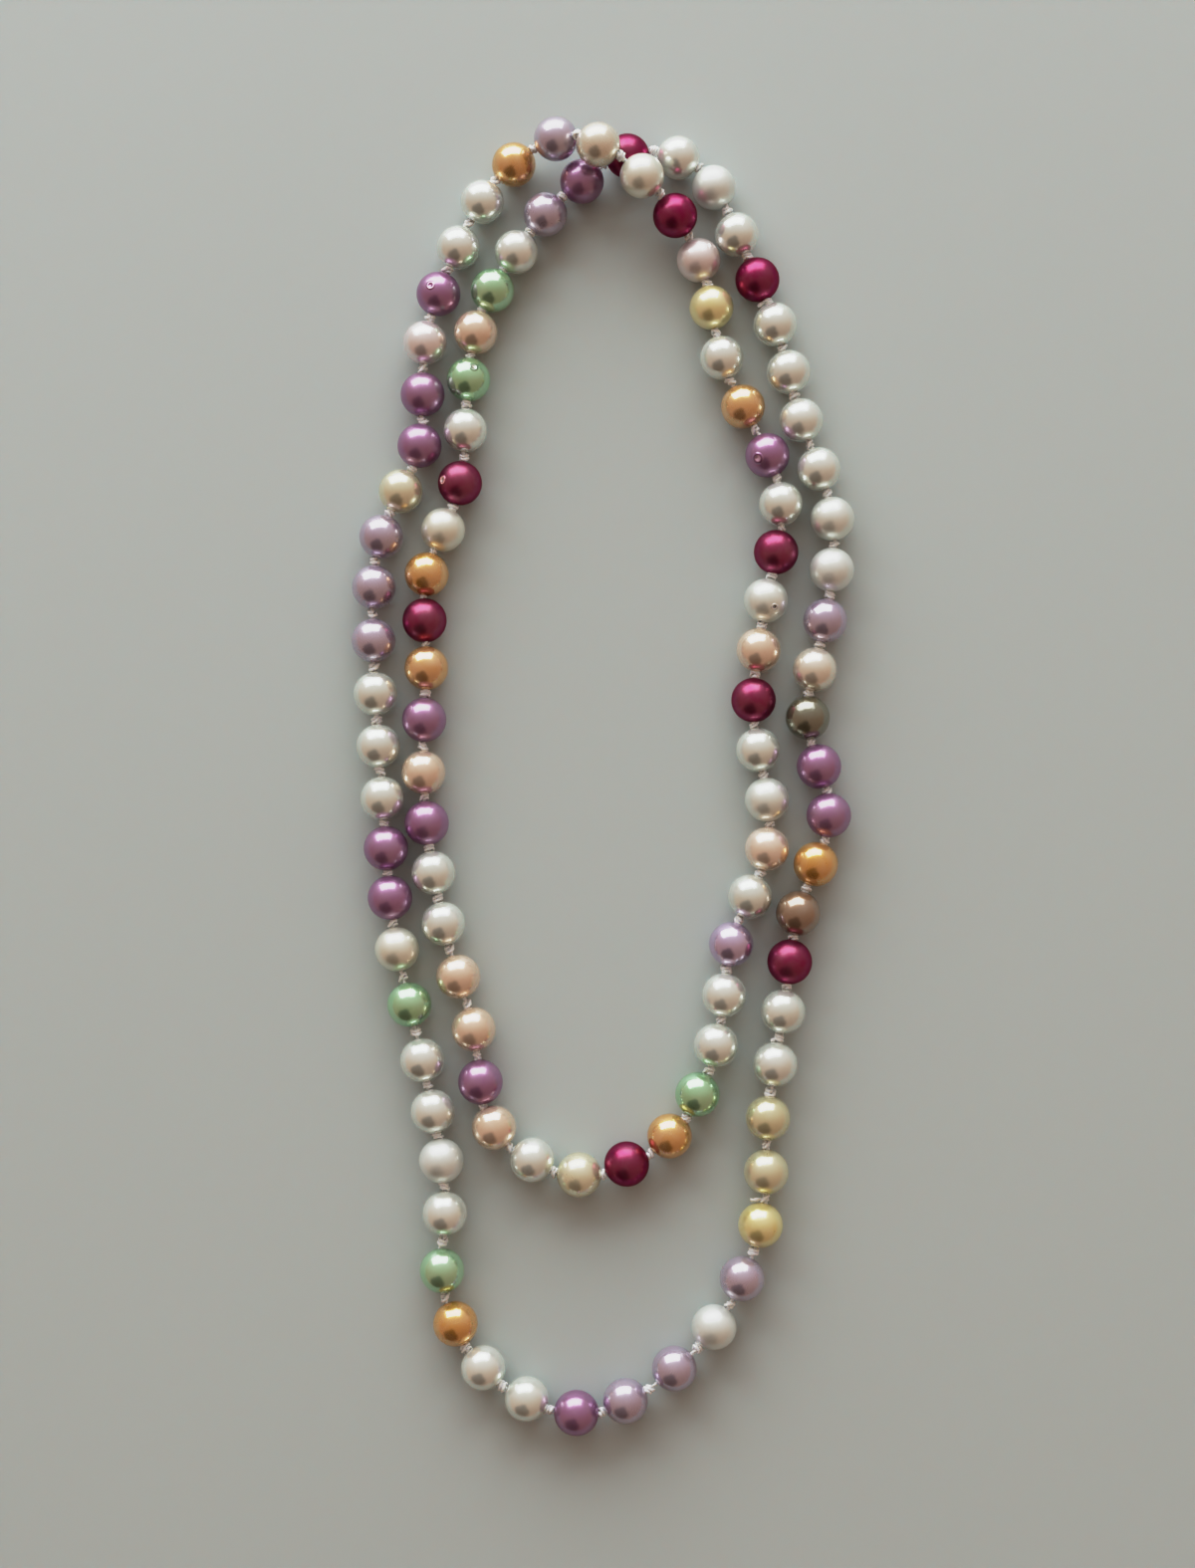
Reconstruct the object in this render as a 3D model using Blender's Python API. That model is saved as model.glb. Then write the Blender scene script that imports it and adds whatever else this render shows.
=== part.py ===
"""Beaded necklace: an endless rope of round pearl beads, knotted one by one on a silk thread.

The rope has no clasp, because it is long enough to slip over the head. It lies doubled: an outer
round runs down the left side, along the bottom and up the right side, the rope passes under
itself at the top, and an inner round goes the same way inside the first and back over it.

Metres, +Z up. The long way of the rope is along Y, and the origin is on the table below its middle.
"""

import math

import bmesh
import bpy
from mathutils import Matrix, Vector

# Sizes of a bead, of the thread, and of the knot that keeps a bead off the next
BEAD_DIAMETER = 0.010
KNOT_SPACE = 0.0015
KNOT_DIAMETER = 0.0022
THREAD_DIAMETER = 0.0010

# The free space that splits the two knots where one round of the rope ends and the other starts
END_GAP = 0.0003

# Fineness of the round forms. An even number of sides and an odd number of bands put one flat
# facet of every lying bead straight down.
BEAD_SIDES = 10
BEAD_BANDS = 7
THREAD_SIDES = 5

# The beads in stringing order, from the top left end round the outside
STRINGING = (
    "gold white white plum blush plum plum butter mauve mauve mauve white white white plum plum "
    "cream green white white satin white green gold white white plum mauve mauve satin mauve "
    "yellow butter butter white white crimson bronze gold plum plum olive champagne mauve satin "
    "white white white white white crimson white satin white crimson plum mauve white green "
    "peach green white crimson cream gold crimson gold plum peach plum white white peach peach "
    "plum peach white butter crimson gold green white white lilac white peach white white "
    "crimson peach white crimson white plum gold white yellow blush crimson cream champagne mauve"
).split()
BEAD_COUNT = len(STRINGING)
LAST_OUTER_BEAD = 56

# Surface colours of the pearls and of the silk, linear red, green and blue
COLOURS = {
    "white": (0.66, 0.63, 0.56),
    "satin": (0.62, 0.60, 0.56),
    "cream": (0.64, 0.58, 0.43),
    "champagne": (0.55, 0.42, 0.27),
    "blush": (0.58, 0.42, 0.38),
    "peach": (0.60, 0.36, 0.24),
    "butter": (0.68, 0.58, 0.33),
    "yellow": (0.68, 0.47, 0.15),
    "gold": (0.45, 0.21, 0.05),
    "bronze": (0.28, 0.12, 0.06),
    "olive": (0.11, 0.09, 0.06),
    "green": (0.12, 0.30, 0.10),
    "mauve": (0.31, 0.20, 0.29),
    "lilac": (0.42, 0.26, 0.42),
    "plum": (0.16, 0.05, 0.15),
    "crimson": (0.17, 0.01, 0.06),
    "silk": (0.70, 0.66, 0.56),
}
PEARL_ROUGHNESS = 0.2
SILK_ROUGHNESS = 0.8

# The way the rope lies: the number of a bead, its place across and along the table, and how far it
# is lifted off the table, all three in bead spaces, from the middle of one bead to the next
ROUTE = [
    (1, -1.80, 12.00, 0.00),
    (3, -2.90, 10.35, 0.00),
    (5, -3.55, 8.45, 0.00),
    (7, -3.65, 6.40, 0.00),
    (9, -4.40, 4.60, 0.00),
    (12, -4.50, 1.50, 0.00),
    (14, -4.35, -0.55, 0.00),
    (17, -4.05, -3.50, 0.00),
    (19, -3.55, -5.65, 0.00),
    (22, -3.10, -8.60, 0.00),
    (23, -3.15, -9.70, 0.00),
    (25, -2.35, -11.55, 0.00),
    (27, -0.55, -12.40, 0.00),
    (30, 2.10, -10.75, 0.00),
    (32, 3.00, -8.80, 0.00),
    (34, 3.15, -6.75, 0.00),
    (36, 3.45, -4.70, 0.00),
    (38, 3.75, -2.80, 0.00),
    (40, 4.35, -0.90, 0.00),
    (42, 3.95, 1.00, 0.00),
    (44, 4.30, 2.90, 0.00),
    (46, 4.45, 4.90, 0.00),
    (48, 3.85, 6.85, 0.00),
    (50, 3.35, 8.75, 0.00),
    (52, 2.60, 10.55, 0.00),
    (53, 2.15, 11.50, 0.00),
    (54, 1.45, 12.10, 0.00),
    (55, 0.45, 12.15, 0.00),
    (56, -0.45, 11.65, 0.00),
    (58, -1.75, 10.25, 0.00),
    (60, -2.55, 8.65, 0.00),
    (62, -2.75, 6.70, 0.00),
    (63, -2.85, 5.65, 0.00),
    (65, -3.50, 3.85, 0.00),
    (67, -3.50, 2.00, 0.00),
    (69, -3.55, -0.05, 0.00),
    (72, -3.15, -3.00, 0.00),
    (74, -2.55, -5.05, 0.00),
    (76, -2.15, -6.95, 0.00),
    (78, -0.50, -7.85, 0.00),
    (80, 1.25, -7.10, 0.00),
    (82, 2.15, -5.35, 0.00),
    (84, 2.45, -3.40, 0.00),
    (86, 3.15, -1.55, 0.00),
    (89, 2.90, 1.35, 0.00),
    (91, 3.15, 3.30, 0.00),
    (93, 3.45, 5.20, 0.00),
    (96, 2.30, 8.10, 0.00),
    (98, 1.85, 10.05, 0.00),
    (100, 0.75, 11.55, 0.65),
    (101, -0.10, 12.15, 0.75),
    (102, -0.95, 12.40, 0.35),
]


def route_row(index):
    """The number and the point of a row of the route, which goes on round the endless rope."""
    turns, row = divmod(index, len(ROUTE))
    number, *point = ROUTE[row]
    return number + turns * BEAD_COUNT, Vector(point)


def route_slope(index):
    """The direction of the route at a row, weighted by the beads to the row before and after."""
    before, point_before = route_row(index - 1)
    number, point = route_row(index)
    after, point_after = route_row(index + 1)
    slope_in = (point - point_before) / (number - before)
    slope_out = (point_after - point) / (after - number)
    return (slope_in * (after - number) + slope_out * (number - before)) / (after - before)


def route_point(number):
    """The place of a bead on the smooth curve through the rows of the route."""
    index = max(i for i in range(len(ROUTE)) if ROUTE[i][0] <= number)
    start, point_start = route_row(index)
    end, point_end = route_row(index + 1)
    rows = end - start
    s = (number - start) / rows
    return (
        point_start * (2 * s**3 - 3 * s**2 + 1)
        + route_slope(index) * rows * (s**3 - 2 * s**2 + s)
        + point_end * (3 * s**2 - 2 * s**3)
        + route_slope(index + 1) * rows * (s**3 - s**2)
    )


def bead_places():
    """The centres of all beads, over the origin, each resting on a facet or lifted."""
    bead_space = BEAD_DIAMETER + KNOT_SPACE
    rest_height = BEAD_DIAMETER / 2 * math.cos(math.pi / BEAD_SIDES) * math.cos(math.pi / 2 / BEAD_BANDS)
    places = [route_point(number) * bead_space for number in range(1, BEAD_COUNT + 1)]
    middle_x = (min(p.x for p in places) + max(p.x for p in places)) / 2
    middle_y = (min(p.y for p in places) + max(p.y for p in places)) / 2
    return [Vector((p.x - middle_x, p.y - middle_y, max(p.z, 0.0) + rest_height)) for p in places]


def thread_directions(places):
    """The direction of the thread through each bead, level where the bead lies on the table."""
    table_level = min(place.z for place in places)
    alongs = []
    for i, place in enumerate(places):
        along = places[(i + 1) % BEAD_COUNT] - places[i - 1]
        if place.z == table_level:
            along.z = 0
        alongs.append(along.normalized())
    return alongs


def facing(place, along, turn=0.0):
    """A frame at a place whose Z runs along the thread and whose Y points down, then turned."""
    down = Vector((0, 0, -1))
    down = (down - along * down.dot(along)).normalized()
    frame = Matrix((down.cross(along), down, along)).transposed().to_4x4()
    return Matrix.Translation(place) @ frame @ Matrix.Rotation(turn, 4, "Z")


def boundary(verts):
    """The open edges round a ring of points."""
    return {edge for vert in verts for edge in vert.link_edges if len(edge.link_faces) < 2}


def add_bead(bm, place, along, colour):
    """A round bead without its two pole points. Returns the open rings at its back and front.

    The round form has points on its own Y, so half a side's turn puts a flat facet straight down.
    """
    frame = facing(place, along, math.pi / BEAD_SIDES)
    radius = BEAD_DIAMETER / 2
    made = bmesh.ops.create_uvsphere(
        bm, u_segments=BEAD_SIDES, v_segments=BEAD_BANDS, radius=radius, matrix=frame
    )
    verts = sorted(made["verts"], key=lambda vert: (vert.co - place).dot(along))
    for face in {face for vert in verts for face in vert.link_faces}:
        face.material_index = colour
    back_pole, *rings, front_pole = verts
    bmesh.ops.delete(bm, geom=[back_pole, front_pole], context="VERTS")
    return boundary(rings[:BEAD_SIDES]), boundary(rings[-BEAD_SIDES:])


def add_ring(bm, place, along, diameter, closed=False):
    """A ring of the thread or of a knot, open or closed by a face."""
    made = bmesh.ops.create_circle(
        bm, cap_ends=closed, segments=THREAD_SIDES, radius=diameter / 2, matrix=facing(place, along)
    )
    return boundary(made["verts"])


def join(bm, ring, next_ring, colour):
    made = bmesh.ops.bridge_loops(bm, edges=list(ring | next_ring))
    for face in made["faces"]:
        face.material_index = colour


def build_round(name, numbers, places, alongs, materials, parent):
    """One round of the rope, from half a knot at its start to half a knot at its end, as one solid."""
    radius = BEAD_DIAMETER / 2
    silk = list(materials).index("silk")
    bm = bmesh.new()
    knot_ring = None
    for number in numbers:
        place, along = places[number - 1], alongs[number - 1]
        after = number % BEAD_COUNT
        colour = list(materials).index(STRINGING[number - 1])
        back, front = add_bead(bm, place, along, colour)
        hole_back = add_ring(bm, place - along * radius, along, THREAD_DIAMETER)
        hole_front = add_ring(bm, place + along * radius, along, THREAD_DIAMETER)
        join(bm, back, hole_back, colour)
        join(bm, front, hole_front, colour)
        if knot_ring is None:
            before = places[number - 2] + alongs[number - 2] * radius
            knot, way = knot_between(before, place - along * radius)
            knot_ring = add_ring(bm, knot + way * END_GAP / 2, way, KNOT_DIAMETER, closed=True)
        join(bm, knot_ring, hole_back, silk)
        knot, way = knot_between(place + along * radius, places[after] - alongs[after] * radius)
        last = number == numbers[-1]
        knot -= way * END_GAP / 2 if last else Vector()
        ring = add_ring(bm, knot, way, KNOT_DIAMETER, closed=last)
        join(bm, hole_front, ring, silk)
        knot_ring = ring
    bmesh.ops.recalc_face_normals(bm, faces=bm.faces)
    mesh = bpy.data.meshes.new(name)
    bm.to_mesh(mesh)
    bm.free()
    mesh.shade_smooth()
    for material in materials.values():
        mesh.materials.append(material)
    rope = bpy.data.objects.new(name, mesh)
    rope.parent = parent
    return rope


def knot_between(start, end):
    """The middle of the free thread between two beads, and its direction."""
    return (start + end) / 2, (end - start).normalized()


def build_material(name, colour, roughness):
    material = bpy.data.materials.new(name)
    material.use_nodes = True
    shader = material.node_tree.nodes["Principled BSDF"]
    shader.inputs["Base Color"].default_value = (*colour, 1)
    shader.inputs["Roughness"].default_value = roughness
    shader.inputs["Metallic"].default_value = 0.0
    return material


def main():
    for obj in list(bpy.data.objects):
        bpy.data.objects.remove(obj)
    collection = bpy.data.collections.new("beaded_necklace")
    bpy.context.scene.collection.children.link(collection)
    middle = bpy.data.objects.new("middle_on_table", None)
    collection.objects.link(middle)

    materials = {
        name: build_material(name, colour, SILK_ROUGHNESS if name == "silk" else PEARL_ROUGHNESS)
        for name, colour in COLOURS.items()
    }
    places = bead_places()
    alongs = thread_directions(places)
    rounds = {
        "outer_round": range(1, LAST_OUTER_BEAD + 1),
        "inner_round": range(LAST_OUTER_BEAD + 1, BEAD_COUNT + 1),
    }
    for name, numbers in rounds.items():
        rope = build_round(name, numbers, places, alongs, materials, middle)
        collection.objects.link(rope)


main()
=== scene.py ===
# %% [markdown]
# A long rope of pearl beads lies doubled on a pale table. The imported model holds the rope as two
# solid rounds that stand for its weight and its collisions. This script puts real looking beads,
# knots and thread in their place, and it starts by loading that model as a fixed frame.

# %% Load the frame
import math
import random

import bmesh
import bpy
from mathutils import Matrix, Vector


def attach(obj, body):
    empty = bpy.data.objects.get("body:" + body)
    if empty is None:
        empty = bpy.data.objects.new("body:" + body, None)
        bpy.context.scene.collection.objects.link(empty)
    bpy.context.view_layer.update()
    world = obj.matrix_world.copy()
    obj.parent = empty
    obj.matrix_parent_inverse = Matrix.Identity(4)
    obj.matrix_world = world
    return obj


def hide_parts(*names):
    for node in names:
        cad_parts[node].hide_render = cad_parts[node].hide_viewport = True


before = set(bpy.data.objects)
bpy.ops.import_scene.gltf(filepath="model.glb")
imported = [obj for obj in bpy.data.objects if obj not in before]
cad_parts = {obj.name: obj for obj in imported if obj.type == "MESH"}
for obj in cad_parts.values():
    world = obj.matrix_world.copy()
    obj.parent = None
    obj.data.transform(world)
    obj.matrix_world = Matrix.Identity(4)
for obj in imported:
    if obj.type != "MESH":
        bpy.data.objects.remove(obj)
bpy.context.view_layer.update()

# %% [markdown]
# The sizes are those of the model: round beads of 10 mm, strung about 11.5 mm apart, so that a
# silk knot fills the space between each two. The colours follow no repeat, so they are kept as one
# list of words in stringing order. The names are made for this rope.

# %% Sizes and stringing order
BEAD_DIAMETER = 0.010
BEAD_RADIUS = BEAD_DIAMETER / 2
KNOT_SPACE = 0.0015
BEAD_SPACE = BEAD_DIAMETER + KNOT_SPACE
STRINGING = (
    "gold white white plum blush plum plum butter mauve mauve mauve white white white plum plum "
    "cream green white white satin white green gold white white plum mauve mauve satin mauve "
    "yellow butter butter white white crimson bronze gold plum plum olive champagne mauve satin "
    "white white white white white crimson white satin white crimson plum mauve white green "
    "peach green white crimson cream gold crimson gold plum peach plum white white peach peach "
    "plum peach white butter crimson gold green white white lilac white peach white white "
    "crimson peach white crimson white plum gold white yellow blush crimson cream champagne mauve"
).split()
BEAD_COUNT = len(STRINGING)
print(BEAD_COUNT, "beads in", len(set(STRINGING)), "colours")

# %% [markdown]
# A rope that is laid down by hand has no formula, so its way is a list of chosen points: the number
# of a bead, its place across and along the table, and its lift, all three in bead spaces. One
# smooth curve runs through them and gives the place of every bead between. It is the same list,
# and the same curve, as in the model's source, so each bead here lies just where its solid is.

# %% The way the rope lies
ROUTE = [
    (1, -1.80, 12.00, 0.00),
    (3, -2.90, 10.35, 0.00),
    (5, -3.55, 8.45, 0.00),
    (7, -3.65, 6.40, 0.00),
    (9, -4.40, 4.60, 0.00),
    (12, -4.50, 1.50, 0.00),
    (14, -4.35, -0.55, 0.00),
    (17, -4.05, -3.50, 0.00),
    (19, -3.55, -5.65, 0.00),
    (22, -3.10, -8.60, 0.00),
    (23, -3.15, -9.70, 0.00),
    (25, -2.35, -11.55, 0.00),
    (27, -0.55, -12.40, 0.00),
    (30, 2.10, -10.75, 0.00),
    (32, 3.00, -8.80, 0.00),
    (34, 3.15, -6.75, 0.00),
    (36, 3.45, -4.70, 0.00),
    (38, 3.75, -2.80, 0.00),
    (40, 4.35, -0.90, 0.00),
    (42, 3.95, 1.00, 0.00),
    (44, 4.30, 2.90, 0.00),
    (46, 4.45, 4.90, 0.00),
    (48, 3.85, 6.85, 0.00),
    (50, 3.35, 8.75, 0.00),
    (52, 2.60, 10.55, 0.00),
    (53, 2.15, 11.50, 0.00),
    (54, 1.45, 12.10, 0.00),
    (55, 0.45, 12.15, 0.00),
    (56, -0.45, 11.65, 0.00),
    (58, -1.75, 10.25, 0.00),
    (60, -2.55, 8.65, 0.00),
    (62, -2.75, 6.70, 0.00),
    (63, -2.85, 5.65, 0.00),
    (65, -3.50, 3.85, 0.00),
    (67, -3.50, 2.00, 0.00),
    (69, -3.55, -0.05, 0.00),
    (72, -3.15, -3.00, 0.00),
    (74, -2.55, -5.05, 0.00),
    (76, -2.15, -6.95, 0.00),
    (78, -0.50, -7.85, 0.00),
    (80, 1.25, -7.10, 0.00),
    (82, 2.15, -5.35, 0.00),
    (84, 2.45, -3.40, 0.00),
    (86, 3.15, -1.55, 0.00),
    (89, 2.90, 1.35, 0.00),
    (91, 3.15, 3.30, 0.00),
    (93, 3.45, 5.20, 0.00),
    (96, 2.30, 8.10, 0.00),
    (98, 1.85, 10.05, 0.00),
    (100, 0.75, 11.55, 0.65),
    (101, -0.10, 12.15, 0.75),
    (102, -0.95, 12.40, 0.35),
]


def route_row(index):
    """The number and the point of a row of the route, which goes on round the endless rope."""
    turns, row = divmod(index, len(ROUTE))
    number, *point = ROUTE[row]
    return number + turns * BEAD_COUNT, Vector(point)


def route_slope(index):
    """The direction of the route at a row, weighted by the beads to the row before and after."""
    before, point_before = route_row(index - 1)
    number, point = route_row(index)
    after, point_after = route_row(index + 1)
    slope_in = (point - point_before) / (number - before)
    slope_out = (point_after - point) / (after - number)
    return (slope_in * (after - number) + slope_out * (number - before)) / (after - before)


def route_point(number):
    """The place of a bead on the smooth curve through the rows of the route."""
    index = max(i for i in range(len(ROUTE)) if ROUTE[i][0] <= number)
    start, point_start = route_row(index)
    end, point_end = route_row(index + 1)
    rows = end - start
    s = (number - start) / rows
    return (
        point_start * (2 * s**3 - 3 * s**2 + 1)
        + route_slope(index) * rows * (s**3 - 2 * s**2 + s)
        + point_end * (3 * s**2 - 2 * s**3)
        + route_slope(index + 1) * rows * (s**3 - s**2)
    )


# %% [markdown]
# The solids stand on z = 0 on a flat facet, but a true round bead is a little deeper than its
# facets. So the beads keep the centres of their solids, and the table lies one radius below them.

# %% Bead centres and thread directions
SOLID_SIDES, SOLID_BANDS = 10, 7
centre_height = BEAD_RADIUS * math.cos(math.pi / SOLID_SIDES) * math.cos(math.pi / 2 / SOLID_BANDS)
TABLE_HEIGHT = centre_height - BEAD_RADIUS

points = [route_point(number) * BEAD_SPACE for number in range(1, BEAD_COUNT + 1)]
middle_x = (min(p.x for p in points) + max(p.x for p in points)) / 2
middle_y = (min(p.y for p in points) + max(p.y for p in points)) / 2
PLACES = [Vector((p.x - middle_x, p.y - middle_y, max(p.z, 0.0) + centre_height)) for p in points]
lying_height = min(place.z for place in PLACES)
ALONGS = []
for i, place in enumerate(PLACES):
    along = PLACES[(i + 1) % BEAD_COUNT] - PLACES[i - 1]
    if place.z == lying_height:
        along.z = 0
    ALONGS.append(along.normalized())
highest = max(place.z for place in PLACES)
print("table at %.2f mm, highest bead at %.1f mm" % (1000 * TABLE_HEIGHT, 1000 * highest))

# %% [markdown]
# The camera looks almost straight down from a little over half a metre. It stands slightly to the
# right and towards the near end, so it is turned a few degrees to face the rope. The lens is given
# for a frame whose long side is 36 mm.

# %% Camera
FRAME_LONG_SIDE = 1575
LENS_IN_PIXELS = 2500
CAMERA_PLACE = (0.0195, -0.0341, 0.5616)
CAMERA_LEAN = (0.0553, 0.0370, 0.0)

bpy.ops.object.camera_add(location=CAMERA_PLACE, rotation=CAMERA_LEAN)
camera = bpy.context.object
camera.data.sensor_width = 36
camera.data.lens = camera.data.sensor_width * LENS_IN_PIXELS / FRAME_LONG_SIDE
camera.data.clip_start = 0.01
bpy.context.scene.camera = camera
print("lens %.1f mm" % camera.data.lens)

# %% [markdown]
# Every material here, and the light of the room, is a small net of nodes. An input of a node gets
# either a plain value or the output of another node, linked to it. One helper does both, so that
# each net can be read from top to bottom.


# %% Making nodes
def feed(tree, node, inputs):
    """Sets each of these inputs of a node to its plain value, or links another node's output to it."""
    for socket, value in inputs.items():
        if isinstance(value, bpy.types.NodeSocket):
            tree.links.new(value, node.inputs[socket])
        else:
            node.inputs[socket].default_value = value


def add_node(tree, kind, inputs, **settings):
    """A new node of this kind, with its settings and with what goes into its inputs."""
    node = tree.nodes.new("ShaderNode" + kind)
    for name, value in settings.items():
        setattr(node, name, value)
    feed(tree, node, inputs)
    return node


def object_place(tree):
    """The point that is shaded, in the coordinates of its object."""
    return add_node(tree, "TexCoord", {}).outputs["Object"]


def new_material(name):
    """A material with its own nodes. Returns it, its node tree and its surface shader."""
    material = bpy.data.materials.new(name)
    material.use_nodes = True
    tree = material.node_tree
    return material, tree, tree.nodes["Principled BSDF"]


# %% [markdown]
# The table is a large plain sheet, pale grey with the faintest cloudiness, so that the shadows of
# the beads are what one sees on it. Some light travels a few millimetres under its surface, red
# light the furthest, and warms the edges of those shadows. It belongs to the stage and not to the
# necklace.

# %% Table
TABLE_SIDE = 6.0
TABLE_TONES = ((0, (0.455, 0.51, 0.50)), (1, (0.465, 0.52, 0.51)))
TABLE_CLOUD = 6


def tone_ramp(tree, value, tones):
    """A colour that follows a value: each of the two tones has a position and a colour."""
    ramp = add_node(tree, "ValToRGB", {"Fac": value})
    for element, (position, colour) in zip(ramp.color_ramp.elements, tones):
        element.position = position
        element.color = (*colour, 1)
    return ramp.outputs["Color"]


bpy.ops.object.select_all(action="DESELECT")
bpy.ops.mesh.primitive_plane_add(size=TABLE_SIDE, location=(0, 0, TABLE_HEIGHT))
table = bpy.context.object
table.name = "table_top"
table_paint, tree, shader = new_material("table_paint")
clouds = add_node(tree, "TexNoise", {"Vector": object_place(tree), "Scale": TABLE_CLOUD})
table_look = {
    "Base Color": tone_ramp(tree, clouds.outputs["Fac"], TABLE_TONES),
    "Roughness": 0.45,
    "Specular IOR Level": 0.3,
    "Subsurface Weight": 0.3,
    "Subsurface Radius": (1.0, 0.35, 0.25),
    "Subsurface Scale": 0.007,
}
feed(tree, shader, table_look)
table.data.materials.append(table_paint)
print("table %.0f m wide" % TABLE_SIDE)

# %% [markdown]
# Pearls are mirrors with a soft skin, so what surrounds them is half of their look. One large
# window stands low behind the far end and makes the bright patch on every bead and the long soft
# shadows. Its light is a little cool.

# %% Window
WINDOW_PLACE = Vector((-0.25, 1.5, 0.68))
WINDOW_WIDTH, WINDOW_HEIGHT = 2.3, 1.3
WINDOW_POWER = 44.0
WINDOW_COLOUR = (0.93, 0.98, 1.0)

facing_rope = (Vector((0, 0, 0.1)) - WINDOW_PLACE).to_track_quat("-Z", "Y").to_euler()
bpy.ops.object.light_add(type="AREA", location=WINDOW_PLACE, rotation=facing_rope)
window = bpy.context.object
window.data.shape = "RECTANGLE"
window.data.size = WINDOW_WIDTH
window.data.size_y = WINDOW_HEIGHT
window.data.energy = WINDOW_POWER
window.data.color = WINDOW_COLOUR
window.visible_camera = False
print("window %.1f x %.1f m" % (WINDOW_WIDTH, WINDOW_HEIGHT))

# %% [markdown]
# Three steps come back in many of the nets: to move a value from one range to another, to
# multiply it, and to blend two colours by it. Each is one node with its inputs filled in.


# %% Values and colours in a net
def mapped(tree, value, source, target=(0, 1), interpolation="LINEAR"):
    """A value moved from one range to another, and held at the ends."""
    inputs = {"Value": value, "From Min": source[0], "From Max": source[1]}
    inputs.update({"To Min": target[0], "To Max": target[1]})
    return add_node(tree, "MapRange", inputs, interpolation_type=interpolation).outputs["Result"]


def scaled(tree, value, factor, added=0.0):
    """A value times a factor, with another value added to it."""
    inputs = {0: value, 1: factor, 2: added}
    return add_node(tree, "Math", inputs, operation="MULTIPLY_ADD").outputs["Value"]


def blend(tree, share, first, second):
    """The colour between two others: a share of 0 gives the first, and 1 the second."""
    ends = [end if isinstance(end, bpy.types.NodeSocket) else (*end, 1) for end in (first, second)]
    inputs = {"Factor": share, "A": ends[0], "B": ends[1]}
    return add_node(tree, "Mix", inputs, data_type="RGBA").outputs["Result"]


# %% [markdown]
# The rest of the room glows: almost white on the window's side, and warmer and dimmer elsewhere.
# On the near side it has one dark place, a narrow top over a wide base, which gives each pearl the
# dark lower eye that makes it look round and deep. Low down on that side the room is a little
# dimmer as well. Each row holds a direction, the angle within which the spot is full, the angle
# past which it has faded out, and how deep it is.

# %% Room
FAR_GLOW = (0.64, 0.57, 0.53)
NEAR_GLOW = (0.46, 0.305, 0.225)
FAR_SIDE = ((0, 1, 0.35), 15, 95)
DARK_PLACE = (0.045, 0.025, 0.015)
DARK_SPOTS = (
    ((-0.20, -0.55, 0.80), 10, 19, 1.0),
    ((-0.30, -0.80, 0.46), 24, 36, 1.0),
    ((0.40, -0.90, 0.10), 10, 60, 0.2),
)

room = bpy.data.worlds.new("room")
bpy.context.scene.world = room
room.use_nodes = True
tree = room.node_tree
look = add_node(tree, "TexCoord", {}).outputs["Generated"]


def toward(way, inner, outer):
    """How near a look goes to a direction: 1 within the inner angle, 0 past the outer, in degrees."""
    inputs = {0: look, 1: Vector(way).normalized()}
    nearness = add_node(tree, "VectorMath", inputs, operation="DOT_PRODUCT").outputs["Value"]
    edges = (math.cos(math.radians(outer)), math.cos(math.radians(inner)))
    return mapped(tree, nearness, edges, interpolation="SMOOTHSTEP")


glow = blend(tree, toward(*FAR_SIDE), NEAR_GLOW, FAR_GLOW)
for way, inner, outer, depth in DARK_SPOTS:
    glow = blend(tree, scaled(tree, toward(way, inner, outer), depth), glow, DARK_PLACE)
feed(tree, tree.nodes["Background"], {"Color": glow})
print("room with", len(DARK_SPOTS), "dark spots")

# %% [markdown]
# A camera rolls off the brightest light instead of cutting it, so that the window's patch on a
# pearl keeps a soft edge, and it deepens the darkest tones a little, which makes shadows and dark
# dyes richer. The same is done here, with a curve that has a faint toe below and a shoulder above.

# %% Camera's response
RESPONSE = ((0.1, 0.092), (0.2, 0.194), (0.55, 0.55), (0.95, 0.77), (1.7, 0.89))

view = bpy.context.scene.view_settings
view.view_transform = "Standard"
view.use_curve_mapping = True
view.curve_mapping.use_clip = False
curve = view.curve_mapping.curves[3]
curve.points[1].location = RESPONSE[-1]
for light, shown in RESPONSE[:-1]:
    curve.points.new(light, shown)
view.curve_mapping.update()
print("response:", [tuple(round(value, 2) for value in point.location) for point in curve.points])

# %% [markdown]
# A bead starts as a sphere whose poles lie on the thread. The small fan of faces at each pole is
# pushed inwards, which makes the drilled hole, and the sharp edge left round it is bevelled, as the
# polished rim of a real hole is. One bead is modelled well and then copied for the whole rope.

# %% One drilled bead
HOLE_DEPTH = 0.0016
RIM_ROUNDING = 0.00012
BEAD_SEGMENTS, BEAD_RINGS = 44, 30
SMOOTH_BELOW = math.radians(50)
TOUCHING = 1e-6


def edit_faces():
    """Edit mode on the active object, by faces, with nothing selected. Returns its mesh."""
    bpy.ops.object.mode_set(mode="EDIT")
    bpy.ops.mesh.select_mode(type="FACE")
    bpy.ops.mesh.select_all(action="DESELECT")
    return bmesh.from_edit_mesh(bpy.context.object.data)


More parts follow.
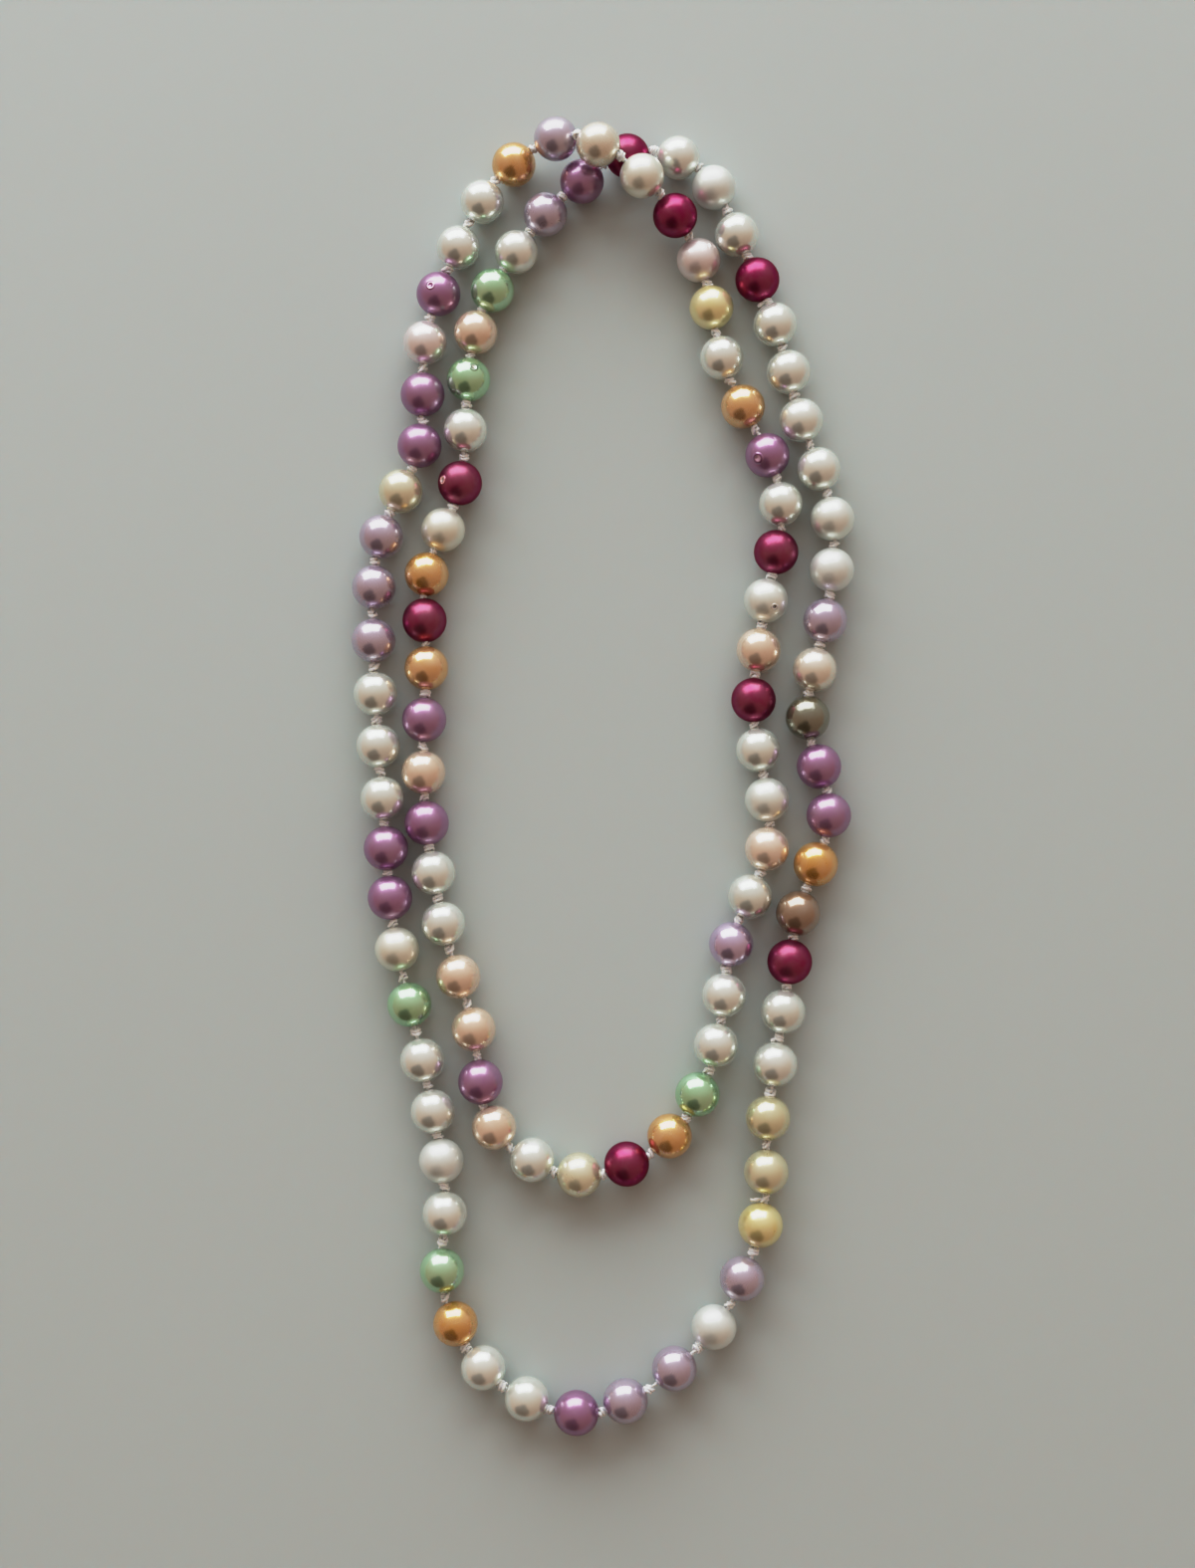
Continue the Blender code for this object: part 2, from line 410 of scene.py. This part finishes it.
bpy.ops.object.select_all(action="DESELECT")
bpy.ops.mesh.primitive_uv_sphere_add(
    segments=BEAD_SEGMENTS, ring_count=BEAD_RINGS, radius=BEAD_RADIUS
)
bead = bpy.context.object
bead.name = "one_bead"
rim_height = BEAD_RADIUS * math.cos(math.pi / BEAD_RINGS)
for end in (1, -1):
    mesh = edit_faces()
    pole = max(mesh.verts, key=lambda vert: end * vert.co.z)
    for face in pole.link_faces:
        face.select = True
    bpy.ops.mesh.extrude_region_move(TRANSFORM_OT_translate={"value": (0, 0, -end * HOLE_DEPTH)})
    bpy.ops.mesh.select_mode(type="EDGE")
    bpy.ops.mesh.select_all(action="DESELECT")
    mesh = bmesh.from_edit_mesh(bead.data)
    for edge in mesh.edges:
        edge.select = all(abs(end * vert.co.z - rim_height) < TOUCHING for vert in edge.verts)
    bpy.ops.mesh.bevel(offset=RIM_ROUNDING, segments=2)
    bpy.ops.object.mode_set(mode="OBJECT")
bpy.ops.object.shade_smooth_by_angle(angle=SMOOTH_BELOW)
print("one bead:", len(bead.data.polygons), "faces")

# %% [markdown]
# Three numbers are kept on the points of each bead for its material to read: how close a point is to
# a drilled hole, where the coating is always a little worn, and a tone and a softness of the bead's
# own, because no two pearls of a colour match quite.

# %% Values kept on a bead
HOLE_WEAR_REACH = 0.0007

hole_radius = BEAD_RADIUS * math.sin(math.pi / BEAD_RINGS)
wear = bead.data.attributes.new("hole_wear", "FLOAT", "POINT")
for vert, value in zip(bead.data.vertices, wear.data):
    beyond = (vert.co.xy.length - hole_radius) / HOLE_WEAR_REACH
    value.value = min(1.0, max(0.0, 1.0 - beyond))
for own_value in ("tone", "softness"):
    bead.data.attributes.new(own_value, "FLOAT", "POINT")
print("hole %.2f mm wide" % (2000 * hole_radius))

# %% [markdown]
# Pieces that repeat are placed in the same way, beads and knots alike: a copy gets its own mesh,
# which is turned to the thread and moved to its place, so that its object stays at the origin. All
# copies of a kind are then joined to one piece.


# %% Placing and joining
def select_only(pieces):
    """Selects these pieces and nothing else, and makes the first one active."""
    bpy.ops.object.select_all(action="DESELECT")
    for piece in pieces:
        piece.select_set(True)
    bpy.context.view_layer.objects.active = pieces[0]


def copy_of(piece):
    """A copy of a piece, with its own mesh."""
    copy = piece.copy()
    copy.data = piece.data.copy()
    bpy.context.collection.objects.link(copy)
    return copy


def facing(place, along, turn):
    """A frame at a place whose Z runs along the thread and whose Y points down, then turned."""
    down = Vector((0, 0, -1))
    down = (down - along * down.dot(along)).normalized()
    axes = Matrix((down.cross(along), down, along)).transposed().to_4x4()
    return Matrix.Translation(place) @ axes @ Matrix.Rotation(turn, 4, "Z")


def join(pieces, name):
    """The pieces joined to one object of this name."""
    select_only(pieces)
    bpy.ops.object.join()
    pieces[0].name = name
    pieces[0].data.name = name
    return pieces[0]


# %% [markdown]
# Every bead of the rope is turned so that its hole follows the thread, and spun round it by a
# seeded chance. A few beads have a duller or a paler coating than others of their colour. The
# beads of one colour become one piece.

# %% Beads along the rope
DULLER_BEADS = {17, 46, 64, 87, 91, 98, 100}
PALER_BEADS = {5, 8, 43, 78, 86}
DULL_SOFTNESS = 1.0
USUAL_SOFTNESS = (0, 0.3)
PALE_TONE = 2.0

chance = random.Random(7)
copies = {colour: [] for colour in sorted(set(STRINGING))}
for number, (colour, place, along) in enumerate(zip(STRINGING, PLACES, ALONGS), start=1):
    copy = copy_of(bead)
    copy.data.transform(facing(place, along, chance.uniform(0, 2 * math.pi)))
    tone, softness = chance.random(), chance.uniform(*USUAL_SOFTNESS)
    if number in PALER_BEADS:
        tone = PALE_TONE
    if number in DULLER_BEADS:
        softness = DULL_SOFTNESS
    for own_value, value in (("tone", tone), ("softness", softness)):
        copy.data.attributes[own_value].data.foreach_set("value", [value] * len(copy.data.vertices))
    copies[colour].append(copy)
bpy.data.objects.remove(bead)
PEARLS = {colour: join(made, "pearls_" + colour) for colour, made in copies.items()}
for colour, piece in PEARLS.items():
    print(piece.name, len(copies[colour]), "beads,", len(piece.data.polygons), "faces")

# %% [markdown]
# A pearl's colour lies in its coating, which is never even. Slow noise moves it between a deeper and
# a paler tone, and each bead leans to one of them by its own kept value. Round the hole the coating
# is worn, and greyer. The same noise makes the sheen a little softer here and there.

# %% Colour and softness of the coating
DEEPER_BY = 0.86
PALER_BY = 0.38
CLOUD_RANGE = (0.30, 0.70)
CLOUD_SHARE = 0.4
TONE_SHARE = 0.3
WORN_COLOUR, WORN_GREY = 0.45, 0.12
WORN_SHARE = 0.7
SOFT_SPREAD = 0.15
DULLER_BY = 0.16


def kept_value(tree, name):
    """A value that is kept on the points of the mesh under this name."""
    return add_node(tree, "Attribute", {}, attribute_name=name).outputs["Fac"]


def coating_colour(tree, cloud, colour):
    """The colour of a pearl's coating: uneven, each bead's own, and worn round the hole."""
    deeper = [channel * DEEPER_BY for channel in colour]
    paler = [channel * (1 - PALER_BY) + max(colour) * PALER_BY for channel in colour]
    worn = [channel * WORN_COLOUR + WORN_GREY for channel in colour]
    clouded = mapped(tree, cloud, CLOUD_RANGE, (0.0, CLOUD_SHARE))
    share = scaled(tree, kept_value(tree, "tone"), TONE_SHARE, clouded)
    wear_share = scaled(tree, kept_value(tree, "hole_wear"), WORN_SHARE)
    return blend(tree, wear_share, blend(tree, share, deeper, paler), worn)


def coating_softness(tree, cloud, soft):
    """The roughness of a pearl's sheen: uneven too, and more on the duller beads."""
    uneven = mapped(tree, cloud, (0, 1), (soft * (1 - SOFT_SPREAD), soft * (1 + SOFT_SPREAD)))
    return scaled(tree, kept_value(tree, "softness"), DULLER_BY, uneven)


# %% [markdown]
# Over the colour lies a clear, hard skin. The skin mirrors the window sharply, and under it thin
# layers of nacre throw back a softer, coloured light, as a brushed metal does, with a milky part
# that is scattered. So the shader has three parts: a base colour, some metal with middling
# roughness, and a smooth coat. A very fine bump makes the edge of each reflection a little
# restless. The rim of a dyed pearl stays deep instead of turning milky, so its mirrored light is
# tinted too.

# %% Pearl material
NACRE_CLOUD = 260
NACRE_GRAIN = 1500
GRAIN_HEIGHT = 0.0001
SKIN_IOR = 1.9
SKIN_SHINE = 0.9


def pearl_material(name, colour, metal=0.6, soft=0.27, skin=0.03, grain=0.10, clear=1.0):
    """A pearl finish: its colour, its share of metallic sheen and the softness of that sheen, then
    the roughness of the skin, the strength of the grain and the weight of the clear coat."""
    material, tree, shader = new_material("pearl_" + name)
    spot = object_place(tree)
    cloud_inputs = {"Vector": spot, "Scale": NACRE_CLOUD, "Detail": 3, "Distortion": 0.6}
    cloud = add_node(tree, "TexNoise", cloud_inputs).outputs["Fac"]
    fine = add_node(tree, "TexNoise", {"Vector": spot, "Scale": NACRE_GRAIN, "Detail": 4})
    bump_inputs = {"Height": fine.outputs["Fac"], "Strength": grain, "Distance": GRAIN_HEIGHT}
    normal = add_node(tree, "Bump", bump_inputs).outputs["Normal"]
    pearl_look = {
        "Base Color": coating_colour(tree, cloud, colour),
        "Roughness": coating_softness(tree, cloud, soft),
        "Metallic": metal,
        "Specular IOR Level": SKIN_SHINE * clear,
        "Specular Tint": (*[math.sqrt(channel) for channel in colour], 1),
        "Coat Weight": clear,
        "Coat Roughness": skin,
        "Coat IOR": SKIN_IOR,
        "Normal": normal,
        "Coat Normal": normal,
    }
    feed(tree, shader, pearl_look)
    return material


# %% [markdown]
# Each colour of the rope has a finish of its own, set one by one beside the photo. Most of the strong
# dyes have more metal in them than the whites. The satin beads have a rough skin, the olive one has
# a stronger grain, and crimson has hardly any clear coat, so that its highlights stay pink.

# %% Sixteen finishes
PEARL_FINISHES = {
    "white": dict(colour=(0.87, 0.94, 0.85), metal=0.60, soft=0.21),
    "satin": dict(colour=(0.86, 0.93, 0.87), metal=0.5, soft=0.42, skin=0.22),
    "cream": dict(colour=(0.90, 0.92, 0.77), metal=0.60, soft=0.21),
    "champagne": dict(colour=(0.85, 0.77, 0.60), soft=0.24),
    "blush": dict(colour=(0.88, 0.77, 0.76), soft=0.24),
    "peach": dict(colour=(0.92, 0.70, 0.51), soft=0.22),
    "butter": dict(colour=(0.79, 0.75, 0.44), soft=0.24),
    "yellow": dict(colour=(0.95, 0.84, 0.33), metal=0.62),
    "gold": dict(colour=(0.82, 0.41, 0.07), metal=0.70, soft=0.24),
    "bronze": dict(colour=(0.32, 0.195, 0.11)),
    "olive": dict(colour=(0.20, 0.19, 0.12), metal=0.7, soft=0.24, grain=0.6),
    "green": dict(colour=(0.38, 0.74, 0.40), metal=0.72, soft=0.22),
    "mauve": dict(colour=(0.53, 0.43, 0.58), metal=0.64, soft=0.24),
    "lilac": dict(colour=(0.60, 0.45, 0.71), metal=0.75, soft=0.22),
    "plum": dict(colour=(0.40, 0.17, 0.37), metal=0.7, soft=0.31, clear=0.6),
    "crimson": dict(colour=(0.30, 0.001, 0.08), metal=0.9, soft=0.33, clear=0.1),
}
for name, finish in PEARL_FINISHES.items():
    PEARLS[name].data.materials.clear()
    PEARLS[name].data.materials.append(pearl_material(name, **finish))
print(len(PEARL_FINISHES), "pearl finishes")

# %% [markdown]
# This rope has been worn. Five beads have a mark where a bubble in the coating has burst: a little
# crater with a raised rim. On most marks the rim is painted light and shade, pale where the crest
# catches the light and dark where it lies in shade. The bottom is partly real colour, the bared base
# of a chip and a dark nick, and partly a painted highlight, on the green bead. A mark is a place on
# the bead, across and up in radii as seen from straight above, and the material draws it by the
# distance to that place. Then come its reach and the colours of its rim and its bottom. The bands
# say how near the middle each colour starts and is full, from 0 at the reach to 1 in the middle.

# %% Marks in the coating, with painted light and shade
MARKS = (
    # plum bead: a pale rim of painted light round the plum's own colour
    (4, (-0.27, 0.17), 0.0012, (0.62, 0.38, 0.56), (0.40, 0.16, 0.36)),
    # green bead: a dark rim of painted shade round a painted highlight
    (61, (0.32, 0.39), 0.0012, (0.05, 0.13, 0.05), (0.80, 0.92, 0.78)),
    # plum bead: a dark rim of painted shade round a pale middle
    (94, (-0.47, -0.29), 0.0015, (0.20, 0.07, 0.18), (0.66, 0.42, 0.60)),
    # crimson bead: a real chip, pale pink where the bare base shows
    (63, (-0.75, 0.04), 0.0013, (0.85, 0.40, 0.45), (1.0, 0.75, 0.76)),
    # white bead: a real dark nick inside a pale rim of painted light
    (91, (0.36, -0.39), 0.0009, (0.95, 0.95, 0.90), (0.08, 0.07, 0.05)),
)
CRATER_DEPTH = 0.0003
CREST = 0.35
RIM_BAND = (0.15, 0.30)
BOTTOM_BAND = (0.45, 0.60)


def crater_height(tree, nearness):
    """Even ground, then a raised crest, then a hollow, by how near the middle of a mark is."""
    crater = add_node(tree, "ValToRGB", {"Fac": nearness})
    crater.color_ramp.interpolation = "EASE"
    crater.color_ramp.elements[0].color = (0.5, 0.5, 0.5, 1)
    crater.color_ramp.elements[1].color = (0, 0, 0, 1)
    crater.color_ramp.elements.new(CREST).color = (1, 1, 1, 1)
    return crater.outputs["Color"]


for number, (across, up), reach, rim_light_and_shade, bottom_colour_and_highlight in MARKS:
    rise = math.sqrt(1 - across**2 - up**2)
    place = PLACES[number - 1] + Vector((across, up, rise)) * BEAD_RADIUS
    tree = PEARLS[STRINGING[number - 1]].data.materials[0].node_tree
    shader = tree.nodes["Principled BSDF"]
    distance_inputs = {0: object_place(tree), 1: place}
    distance = add_node(tree, "VectorMath", distance_inputs, operation="DISTANCE").outputs["Value"]
    nearness = mapped(tree, distance, (reach, 0))
    bump_inputs = {
        "Height": crater_height(tree, nearness),
        "Distance": CRATER_DEPTH,
        "Normal": shader.inputs["Normal"].links[0].from_socket,
    }
    normal = add_node(tree, "Bump", bump_inputs).outputs["Normal"]
    feed(tree, shader, {"Normal": normal, "Coat Normal": normal})
    # The rim colour paints light and shade on the crest. The bottom colour is the real colour of a
    # chip or a nick, and on the green bead a painted highlight.
    for colour, band in ((rim_light_and_shade, RIM_BAND), (bottom_colour_and_highlight, BOTTOM_BAND)):
        under = shader.inputs["Base Color"].links[0].from_socket
        painted = blend(tree, mapped(tree, nearness, band), under, colour)
        feed(tree, shader, {"Base Color": painted})
print(len(MARKS), "marks")

# %% [markdown]
# Between two beads the silk is tied in an overhand knot, pulled tight against the bead, so that the
# beads can't rub and none is lost if the string breaks. The thread is a two ply twist, so its
# section is two round lobes. It is drawn once, as a closed curve.

# %% Section of the silk thread
PLY_RADIUS = 0.00030
LOBE_SHARE = 0.62
SECTION_SIDES = 10

bpy.ops.object.select_all(action="DESELECT")
bpy.ops.curve.primitive_bezier_circle_add()
section = bpy.context.object
section.name = "ply_section"
section.data.splines.clear()
outline = section.data.splines.new("POLY")
outline.points.add(SECTION_SIDES - 1)
outline.use_cyclic_u = True
for i, point in enumerate(outline.points):
    turn = 2 * math.pi * i / SECTION_SIDES
    reach = PLY_RADIUS * (1 + LOBE_SHARE * math.cos(turn) ** 2)
    point.co = (reach * math.cos(turn), reach * math.sin(turn), 0, 1)
print("thread %.2f mm thick" % (2000 * PLY_RADIUS * (1 + LOBE_SHARE)))

# %% [markdown]
# The section is swept along a curve and turns as it goes, which shows as the twist of the plies.
# Where two points of the curve lie far apart others are filled in between them, or the twist would
# turn too much at one step and pinch the thread.

# %% Thread along a curve
TWIST_LENGTH = 0.0016
TWIST_STEP = TWIST_LENGTH / 5


def filled_in(points):
    """The points with others set between them, so that the twist turns little from one to the next."""
    filled = [points[0]]
    for place in points[1:]:
        before = filled[-1]
        parts = math.ceil((place - before).length / TWIST_STEP)
        filled += [before.lerp(place, part / parts) for part in range(1, parts + 1)]
    return filled


def sweep_thread(points, name):
    """A two ply thread along these points, as a mesh."""
    points = filled_in(points)
    curve = bpy.data.curves.new(name, "CURVE")
    curve.dimensions = "3D"
    curve.bevel_mode = "OBJECT"
    curve.bevel_object = section
    curve.use_fill_caps = True
    curve.twist_mode = "MINIMUM"
    spline = curve.splines.new("POLY")
    spline.points.add(len(points) - 1)
    run = 0.0
    for i, (target, place) in enumerate(zip(spline.points, points)):
        run += (place - points[i - 1]).length if i else 0.0
        target.co = (*place, 1)
        target.tilt = math.pi * run / TWIST_LENGTH
    made = bpy.data.objects.new(name, curve)
    bpy.context.collection.objects.link(made)
    select_only([made])
    bpy.ops.object.convert(target="MESH")
    return bpy.context.object


# %% [markdown]
# What shows of a tight overhand knot is the thread's two wraps lying askew round the thread itself.
# Three kinds are modelled, with more or fewer turns and a different lean, so that the knots of the
# rope don't look alike.

# %% Kinds of knot
WRAP_RADIUS = 0.00080
WRAP_TURNS = 1.9
WRAP_PITCH = 0.00072
KNOT_STEPS = 44
ENTRY_SHARE = 0.12


def knot_points(turns, lean):
    """The way of the thread through a knot: in along Z, round the wraps, and out again."""
    points = []
    for i in range(KNOT_STEPS + 1):
        share = i / KNOT_STEPS
        turn = 2 * math.pi * turns * share
        entry = min(1.0, share / ENTRY_SHARE, (1 - share) / ENTRY_SHARE)
        reach = WRAP_RADIUS * math.sin(entry * math.pi / 2)
        rise = (share - 0.5) * WRAP_PITCH * turns + lean * reach * math.cos(turn)
        points.append(Vector((reach * math.cos(turn), reach * math.sin(turn), rise)))
    return points


KNOT_KINDS = [
    sweep_thread(knot_points(WRAP_TURNS, 0.35), "knot_even"),
    sweep_thread(knot_points(WRAP_TURNS + 0.35, -0.5), "knot_leaning"),
    sweep_thread(knot_points(WRAP_TURNS - 0.3, 0.6), "knot_short"),
]
for knot in KNOT_KINDS:
    sides = [round(1000 * side, 2) for side in knot.dimensions]
    print(knot.name, len(knot.data.polygons), "faces, mm:", sides)

# %% [markdown]
# A knot is copied into each space and turned by chance. Where the beads lie close, the knot is
# pressed flat between them, and where they lie further apart, bare thread shows beside it. The
# thread itself runs straight from hole to hole.

# %% Knots in their spaces
KNOT_LENGTH = 0.0014
FLATTEST_KNOT = 0.55
KNOT_SHIFT = 0.45
KNOT_SIZES = (0.94, 1.08)

chance = random.Random(11)
knots, threads = [], []
for i in range(BEAD_COUNT):
    after = (i + 1) % BEAD_COUNT
    start = PLACES[i] + ALONGS[i] * BEAD_RADIUS
    end = PLACES[after] - ALONGS[after] * BEAD_RADIUS
    gap = (end - start).length
    way = (end - start).normalized()
    squeeze = min(1.0, max(FLATTEST_KNOT, gap / KNOT_LENGTH))
    spare = max(0.0, gap - KNOT_LENGTH)
    place = (start + end) / 2 + way * spare * chance.uniform(-KNOT_SHIFT, KNOT_SHIFT)
    knot = copy_of(chance.choice(KNOT_KINDS))
    size = chance.uniform(*KNOT_SIZES)
    turned = facing(place, way, chance.uniform(0, 2 * math.pi))
    knot.data.transform(turned @ Matrix.Diagonal((size, size, size * squeeze, 1)))
    knots.append(knot)
    inside_start = PLACES[i] + ALONGS[i] * (BEAD_RADIUS - HOLE_DEPTH)
    inside_end = PLACES[after] - ALONGS[after] * (BEAD_RADIUS - HOLE_DEPTH)
    threads.append(sweep_thread([inside_start, start, end, inside_end], "thread"))
for kind in KNOT_KINDS:
    bpy.data.objects.remove(kind)
print(len(knots), "knots")

# %% [markdown]
# At a few knots a cut end of thread sticks out, where one length of silk was used up and the next
# was tied in. A row holds the bead before the knot, the way the end points and its length.

# %% Cut ends of thread
THREAD_ENDS = (
    (32, (-0.95, -0.1, 0.45), 0.0024),
    (35, (-0.9, -0.3, 0.3), 0.0012),
    (50, (-1.0, -0.5, 0.3), 0.0014),
    (54, (0.5, -0.9, 0.5), 0.0016),
    (97, (0.9, -0.3, 0.4), 0.0012),
)
END_DROOP = 0.25
DROOP_FROM = 0.7

for number, direction, length in THREAD_ENDS:
    after = number % BEAD_COUNT
    start = (PLACES[number - 1] + PLACES[after]) / 2
    way = Vector(direction).normalized()
    droop = Vector((0, 0, -END_DROOP * length))
    tip = start + way * (WRAP_RADIUS + length)
    end_points = [start, start + way * WRAP_RADIUS, start.lerp(tip, DROOP_FROM), tip + droop]
    threads.append(sweep_thread(end_points, "thread_end"))
print(len(THREAD_ENDS), "cut ends")

# %% [markdown]
# All knots become one piece, and all thread another. Points that fell together in the sweep are
# merged, and all faces are turned outwards.

# %% Silk as two pieces
MERGE_WITHIN = 1e-7

SILK = [join(knots, "silk_knots"), join(threads, "silk_thread")]
bpy.data.objects.remove(section)
for piece in SILK:
    select_only([piece])
    bpy.ops.object.mode_set(mode="EDIT")
    bpy.ops.mesh.select_all(action="SELECT")
    bpy.ops.mesh.remove_doubles(threshold=MERGE_WITHIN)
    bpy.ops.mesh.normals_make_consistent(inside=False)
    bpy.ops.object.mode_set(mode="OBJECT")
    bpy.ops.object.shade_smooth()
    print(piece.name, len(piece.data.polygons), "faces")

# %% [markdown]
# Silk is made of long, smooth fibres, so it is off-white with a soft shine of its own rather than
# chalky. A fine noise stands for the fibres.

# %% Silk material
SILK_FIBRES = 5200
SILK_TONES = ((0.35, (0.92, 0.97, 0.96)), (0.65, (0.98, 1.0, 1.0)))
FIBRE_BUMP = 0.4
FIBRE_HEIGHT = 0.0001

silk_paint, tree, shader = new_material("silk")
fibre_inputs = {"Vector": object_place(tree), "Scale": SILK_FIBRES, "Detail": 3}
fibres = add_node(tree, "TexNoise", fibre_inputs).outputs["Fac"]
bump = add_node(tree, "Bump", {"Height": fibres, "Strength": FIBRE_BUMP, "Distance": FIBRE_HEIGHT})
silk_look = {
    "Base Color": tone_ramp(tree, fibres, SILK_TONES),
    "Roughness": 0.28,
    "Specular IOR Level": 0.9,
    "Sheen Weight": 1.0,
    "Subsurface Weight": 0.5,
    "Subsurface Radius": (0.001, 0.0008, 0.0006),
    "Subsurface Scale": 1.0,
    "Normal": bump.outputs["Normal"],
}
feed(tree, shader, silk_look)
for piece in SILK:
    piece.data.materials.clear()
    piece.data.materials.append(silk_paint)
print("silk on", len(SILK), "pieces")

# %% [markdown]
# The pieces ride on the one body of the model and stand in for its two rounds.

# %% Ride, replace and finish
for piece in [*PEARLS.values(), *SILK]:
    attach(piece, "root")
    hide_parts("outer_round", "inner_round")
